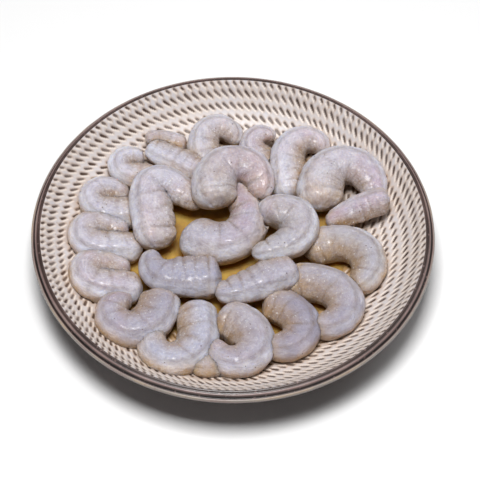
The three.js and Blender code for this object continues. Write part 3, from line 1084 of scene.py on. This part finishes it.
def press_below(points, above, gap):
    """Moves points that lie in a prawn above out to its skin, and its underside if they are deep.

    Also gives how far each point is from that skin.
    """
    local = above.from_dish(points)
    distance = np.full(len(points), FAR)
    reach = above.prawn.girth / 2 + SEARCH_MARGIN
    low = above.places.min(0) - reach
    high = above.places.max(0) + reach
    near = np.flatnonzero(
        (local[:, :2] > low).all(1) & (local[:, :2] < high).all(1) & (np.abs(local[:, 2]) < reach)
    )
    if not len(near):
        return points, distance
    here = local[near]
    hops = here[:, None, :2] - above.places[None, ::PRESS_STEP]
    nearest = PRESS_STEP * np.argmin((hops ** 2).sum(-1), 1)
    angle = above.angles[nearest]
    hop = here[:, :2] - above.places[nearest]
    forward = hop[:, 0] * np.cos(angle) + hop[:, 1] * np.sin(angle)
    out = above.back * (hop[:, 1] * np.cos(angle) - hop[:, 0] * np.sin(angle))
    deep = above.deep[nearest] + gap
    beyond = np.maximum(np.abs(forward) - SPINE_SLACK, 0)
    across = out / deep
    lift = here[:, 2] / (deep * SIDEWAYS_THICKNESS)
    share = np.sqrt(across ** 2 + lift ** 2 + (beyond / deep) ** 2)
    distance[near] = (share - 1) * deep
    inside = (share < 1) & (beyond < deep)
    if inside.any():
        side = np.where(across[inside] < 0, -1.0, 1.0)
        angle_up = np.arctan2(lift[inside], np.abs(across[inside]))
        depth = 1 - share[inside]
        lowered = np.maximum(angle_up - PRESS_TURN * depth, -math.pi / 2)
        new_out = side * np.cos(lowered) * deep[inside] * above.back
        new_up = np.sin(lowered) * deep[inside] * SIDEWAYS_THICKNESS
        base = above.places[nearest[inside]]
        course = angle[inside]
        moved = here[inside].copy()
        moved[:, 0] = base[:, 0] + forward[inside] * np.cos(course) - np.sin(course) * new_out
        moved[:, 1] = base[:, 1] + forward[inside] * np.sin(course) + np.cos(course) * new_out
        moved[:, 2] = new_up
        points = points.copy()
        points[near[inside]] = above.to_dish(moved)
    return points, distance


def room_to_prawns(points):
    """How far each point is from the nearest prawn's skin, up to a limit."""
    nearest = np.full(len(points), JUICE_AND_SHADE_REACH)
    for spine in map(Spine, PRAWNS):
        flat = np.column_stack([spine.places, np.zeros(len(spine.places))])
        course = spine.to_dish(flat)[::JUICE_STEP]
        deep = spine.deep[::JUICE_STEP]
        reach = deep.max() + JUICE_AND_SHADE_REACH
        low = course.min(0) - reach
        high = course.max(0) + reach
        near = np.flatnonzero(((points > low) & (points < high)).all(1))
        if len(near):
            hops = np.linalg.norm(points[near][:, None] - course[None], axis=-1) - deep
            nearest[near] = np.minimum(nearest[near], hops.min(1))
    return nearest


def painted_gap_shade_share(room):
    """How much painted shade browns the glaze in a narrow gap, from its room to the nearest prawn."""
    return PAINTED_GAP_SHADE_SHARE * (1 - ramp(OPEN_GAP, CLOSED_GAP, room))


def even_out(points, unpressed):
    """Smooths the skin where it has been pressed, all but the two end points."""
    skin = points[:-2].reshape(-1, BODY_SIDES, 3)
    moved = np.linalg.norm(points - unpressed, axis=1)[:-2].reshape(-1, BODY_SIDES, 1)
    share = 0.6 * ramp(0.2, 1.0, moved)
    for _ in range(SMOOTH_ROUNDS):
        beside = (np.roll(skin, 1, axis=1) + np.roll(skin, -1, axis=1)) / 2
        along = skin.copy()
        along[1:-1] = (skin[:-2] + skin[2:]) / 2
        skin = skin + share * ((beside + along) / 2 - skin)
    return np.vstack([skin.reshape(-1, 3), points[-2:]])


def press_by_all(points, above, gap):
    """Presses a body by every prawn above it, and gives how far each point is from their skins."""
    contact = np.full(len(points), FAR)
    unpressed = points
    for _ in range(PRESS_ROUNDS):
        points = even_out(points, unpressed)
        for spine in above:
            points, distance = press_below(points, spine, gap)
            contact = np.minimum(contact, distance)
    return points, contact


def rest_on_dish(points, gap):
    """Lifts points that lie in the dish to just above its surface."""
    radius = np.hypot(points[:, 0], points[:, 1])
    surface = wall_height(np.minimum(radius, CREST_RADIUS)) + gap
    points = points.copy()
    points[:, 2] = np.maximum(points[:, 2], surface)
    return points, points[:, 2] - surface


def mixed(base, other, share):
    """Each colour drawn towards another one by its own share."""
    share = np.clip(share, 0, 1)[:, None]
    return base * (1 - share) + np.array(other[:3]) * share


def flesh_tints(prawn, points, share, around, clearance, contact, settings):
    """The broad colour of each point of a prawn.

    Its own tints come first, then the pale band along the back, painted shade in the folds between
    segments, and warm painted shade on the underside and flanks, by contacts, low down and in the hollow
    of the curl."""
    off_back = from_back(around)
    drift = lumps(points, 13.0, settings.seed + 11)
    second = lumps(points, 7.0, settings.seed + 12)
    third = lumps(points, 4.0, settings.seed + 13)
    upward = np.sin(around) + 0.2 * drift + 0.1 * third
    inner = ramp(CREASE_ANGLE, INNER_ANGLE, off_back + 0.25 * second)
    colours = np.tile(np.array(settings.flesh_colour[:3]), (len(points), 1))
    # Painted shade: the underside turns glassy grey-brown and less blue.
    painted_underside_shade = 1 - ramp(0.45, 0.95, upward)
    glassy = (0.45 + 0.55 * prawn.clear + 0.3 * second) * inner
    colours = mixed(colours, settings.clear_colour, np.maximum(glassy, 0.8 * painted_underside_shade))
    colours = mixed(colours, settings.clear_colour, prawn.clear * (0.6 + 0.5 * drift))
    colours = mixed(colours, settings.blue_colour, prawn.blue * (0.75 + 0.6 * drift) * (1 - 0.6 * painted_underside_shade))
    colours = mixed(colours, settings.milky_colour, prawn.milk * (0.8 + 0.5 * second))
    head = (1 - share) ** 1.5
    tail = share ** 1.5
    rose = prawn.rose_head * head + prawn.rose_tail * tail + 0.12
    colours = mixed(colours, settings.rose_colour, rose * (0.85 + 0.6 * second))
    tan = prawn.tan_head * head ** 2 + prawn.tan_tail * tail ** 2
    colours = mixed(colours, settings.tan_and_shade_colour, tan * (0.9 + 0.4 * drift))
    colours = mixed(colours, settings.streak_colour, prawn.grey * (0.85 + 0.5 * drift))
    band = 1 - ramp(0.6 * CREASE_ANGLE, 1.15 * CREASE_ANGLE, off_back + 0.12 * third)
    paler = 0.8 + 0.4 * second - 0.4 * np.maximum(prawn.clear, rose) - 0.4 * prawn.grey
    colours = mixed(colours, settings.milky_colour, band * np.maximum(paler, 0))
    fold = segments(prawn, share, around, points, settings)[1]
    crease = np.exp(-((off_back - CREASE_ANGLE) / CREASE_WIDTH) ** 2)
    # Painted shade in the folds between segments and in the crease along the back.
    painted_fold_shade = fold * (0.14 + 0.12 * prawn.grey + 0.5 * inner) + 0.35 * crease
    colours = mixed(colours, settings.rib_and_fold_shade_colour, painted_fold_shade)
    # Painted shade: the lower flanks turn warm tan, away from the light.
    painted_flank_shade = 1 - ramp(-0.3, 0.65, upward)
    colours = mixed(colours, settings.tan_and_shade_colour, 0.75 * painted_flank_shade)
    # Painted shade by contacts with other prawns.
    painted_contact_shade = np.exp(-np.maximum(contact, 0) / 3.0)
    colours = mixed(colours, settings.tan_and_shade_colour, 0.75 * painted_contact_shade)
    # Painted shade low down near the dish.
    low = 1 - ramp(0.0, 10.0, clearance + 2.0 * drift)
    colours = mixed(colours, settings.tan_and_shade_colour, 0.85 * low)
    # Painted shade in the hollow of the curl and low on the dish.
    painted_hollow_shade = ramp(1.3, 2.3, off_back + 0.12 * third) * (1 - ramp(12.0, 26.0, clearance + 2.0 * third))
    painted_low_shade = 1 - ramp(0.0, 6.0, clearance + 1.0 * second)
    colours = mixed(colours, settings.painted_shade_flesh_colour, np.maximum(0.75 * painted_low_shade, 0.75 * painted_hollow_shade))
    # Painted shade by contacts deep in the heap.
    painted_sunk_shade = painted_contact_shade * (1 - ramp(5.0, 16.0, clearance))
    return mixed(colours, settings.painted_shade_flesh_colour, 0.85 * painted_sunk_shade)


class PRAWNDISH_OT_prawns(bpy.types.Operator):
    """Sweeps, folds and presses the prawns, from the bottom of the heap to the top"""

    bl_idname = "prawn_dish.prawns"
    bl_label = "Make Prawns"

    def execute(self, context):
        settings = context.scene.prawn_flesh
        material = flesh_material(settings)
        spines = [Spine(prawn) for prawn in PRAWNS]
        gap = settings.press_gap / MM
        for index, spine in enumerate(spines):
            prawn = spine.prawn
            grid, ends, shares, angles = swept_body(spine, settings)
            rings = len(grid)
            points = spine.to_dish(np.vstack([grid.reshape(-1, 3), ends]))
            points, contact = press_by_all(points, spines[index + 1:], gap)
            points, clearance = rest_on_dish(points, gap)
            share = np.append(np.repeat(shares, BODY_SIDES), [0, 1])
            around = np.append(np.tile(angles, rings), [0, 0])
            belly = (1 - np.cos(around)) / 2
            faces = body_faces(rings, spine.back > 0)
            name = prawn.node.replace("prawn_", "flesh_")
            piece = make_mesh(name, points, faces, material)
            store(piece, "along", share * prawn.length + STREAK_STEP_ALONG * index)
            store(piece, "around", np.abs(around - math.pi) + STREAK_STEP_AROUND * index)
            store(piece, "belly", belly)
            store(piece, "cloudiness", np.full(len(points), 1 - 0.8 * max(prawn.clear, prawn.grey)))
            # The tints hold the flesh's own colours and its painted shade.
            tints = flesh_tints(prawn, points, share, around, clearance, contact, settings)
            store_colour(piece, "tint", tints)
            place_in_frame(piece, prawn.node)
        return {"FINISHED"}


# Stage

# Places and sizes are in metres.
KEY_PLACE = (-0.04, -0.16, 1.2)
KEY_SIZE = 0.4
FILL_PLACE = (0.6, 0.3, 0.9)
FILL_SIZE = 0.5
LAMP_AIM = (0, 0, 0.02)
NEAREST_SEEN = 0.01


class StageSettings(bpy.types.PropertyGroup):
    """The camera, the lights and the floor."""

    elevation: FloatProperty(
        name="Elevation", description="Angle of the camera above the table",
        default=math.radians(53.3), subtype="ANGLE",
    )
    roll: FloatProperty(
        name="Roll", description="Turn of the camera about its own axis",
        default=math.radians(0.29), subtype="ANGLE",
    )
    distance: FloatProperty(
        name="Distance", description="From the middle of the crest to the camera",
        default=1.0, unit="LENGTH",
    )
    lens: FloatProperty(
        name="Lens", description="Focal length in millimetres", default=126.3, min=1,
    )
    floor_colour: FloatVectorProperty(
        name="Floor", description="Plain pale floor", subtype="COLOR", size=4,
        default=(0.85, 0.85, 0.85, 1.0),
    )
    floor_size: FloatProperty(
        name="Floor Size", description="Side of the floor", default=12.0, unit="LENGTH"
    )
    key_power: FloatProperty(
        name="Key Power", description="Power of the main softbox", default=17.0, min=0, unit="POWER"
    )
    fill_power: FloatProperty(
        name="Fill Power", description="Power of the fill softbox", default=1.5, min=0, unit="POWER"
    )
    room_light: FloatProperty(
        name="Room Light", description="Strength of the light from all round", default=0.1, min=0
    )


def softbox(name, place, size, power):
    """A square white lamp that looks at the heap."""
    lamp = bpy.data.lights.new(name, "AREA")
    lamp.shape = "SQUARE"
    lamp.size = size
    lamp.energy = power
    holder = bpy.data.objects.new(name, lamp)
    holder.location = place
    way = Vector(LAMP_AIM) - Vector(place)
    holder.rotation_euler = way.to_track_quat("-Z", "Y").to_euler()
    bpy.context.collection.objects.link(holder)
    return holder


class PRAWNDISH_OT_stage(bpy.types.Operator):
    """Sets up the camera, the softboxes, the room light and the floor"""

    bl_idname = "prawn_dish.stage"
    bl_label = "Make Stage"

    def execute(self, context):
        stage = context.scene.prawn_stage
        side = stage.floor_size / 2
        corners = [(-side, -side, 0), (side, -side, 0), (side, side, 0), (-side, side, 0)]
        mesh = bpy.data.meshes.new("floor")
        mesh.from_pydata(corners, [], [(0, 1, 2, 3)])
        mesh.materials.append(stage_material(stage))
        floor = bpy.data.objects.new("floor", mesh)
        context.collection.objects.link(floor)

        softbox("key", KEY_PLACE, KEY_SIZE, stage.key_power)
        softbox("fill", FILL_PLACE, FILL_SIZE, stage.fill_power)

        world = bpy.data.worlds.new("room")
        world.use_nodes = True
        light = next(n for n in world.node_tree.nodes if n.type == "BACKGROUND")
        light.inputs["Color"].default_value = (1.0, 1.0, 1.0, 1.0)
        light.inputs["Strength"].default_value = stage.room_light
        context.scene.world = world

        lens = bpy.data.cameras.new("camera")
        lens.sensor_width = SENSOR_WIDTH
        lens.lens = stage.lens
        lens.shift_x = (FRAME_PIXELS / 2 - CREST_PIXEL_X) / FRAME_PIXELS
        lens.shift_y = (CREST_PIXEL_Y - FRAME_PIXELS / 2) / FRAME_PIXELS
        lens.clip_start = NEAREST_SEEN
        lens.dof.use_dof = False
        camera = bpy.data.objects.new("camera", lens)
        aim = Vector((0, 0, CREST_HEIGHT * MM))
        back = Vector((0, -math.cos(stage.elevation), math.sin(stage.elevation)))
        camera.location = aim + back * stage.distance
        look = (-back).to_track_quat("-Z", "Y").to_matrix()
        camera.rotation_euler = (look @ Matrix.Rotation(stage.roll, 3, "Z")).to_euler()
        context.collection.objects.link(camera)
        context.scene.camera = camera
        context.scene.view_settings.view_transform = "Standard"
        return {"FINISHED"}


class PRAWNDISH_PT_sidebar(bpy.types.Panel):
    """Lists the steps that make the dish of prawns"""

    bl_idname = "PRAWNDISH_PT_sidebar"
    bl_label = "Dish of Prawns"
    bl_space_type = "VIEW_3D"
    bl_region_type = "UI"
    bl_category = "Prawns"

    def draw(self, context):
        layout = self.layout
        for settings, steps in (
            (context.scene.prawn_stage, (PRAWNDISH_OT_stage,)),
            (context.scene.prawn_dish, (PRAWNDISH_OT_wall, PRAWNDISH_OT_floor, PRAWNDISH_OT_lip)),
            (context.scene.prawn_flesh, (PRAWNDISH_OT_prawns,)),
        ):
            box = layout.box()
            for name in settings.__annotations__:
                box.prop(settings, name)
            for step in steps:
                box.operator(step.bl_idname)


CLASSES = (
    DishSettings,
    PrawnSettings,
    StageSettings,
    PRAWNDISH_OT_stage,
    PRAWNDISH_OT_wall,
    PRAWNDISH_OT_floor,
    PRAWNDISH_OT_lip,
    PRAWNDISH_OT_prawns,
    PRAWNDISH_PT_sidebar,
)


def register():
    for each in CLASSES:
        bpy.utils.register_class(each)
    bpy.types.Scene.prawn_dish = PointerProperty(type=DishSettings)
    bpy.types.Scene.prawn_flesh = PointerProperty(type=PrawnSettings)
    bpy.types.Scene.prawn_stage = PointerProperty(type=StageSettings)


def unregister():
    del bpy.types.Scene.prawn_stage
    del bpy.types.Scene.prawn_flesh
    del bpy.types.Scene.prawn_dish
    for each in reversed(CLASSES):
        bpy.utils.unregister_class(each)


def main():
    register()
    bpy.ops.prawn_dish.stage()
    bpy.ops.prawn_dish.wall()
    bpy.ops.prawn_dish.floor()
    bpy.ops.prawn_dish.lip()
    bpy.ops.prawn_dish.prawns()


if __name__ == "__main__":
    main()
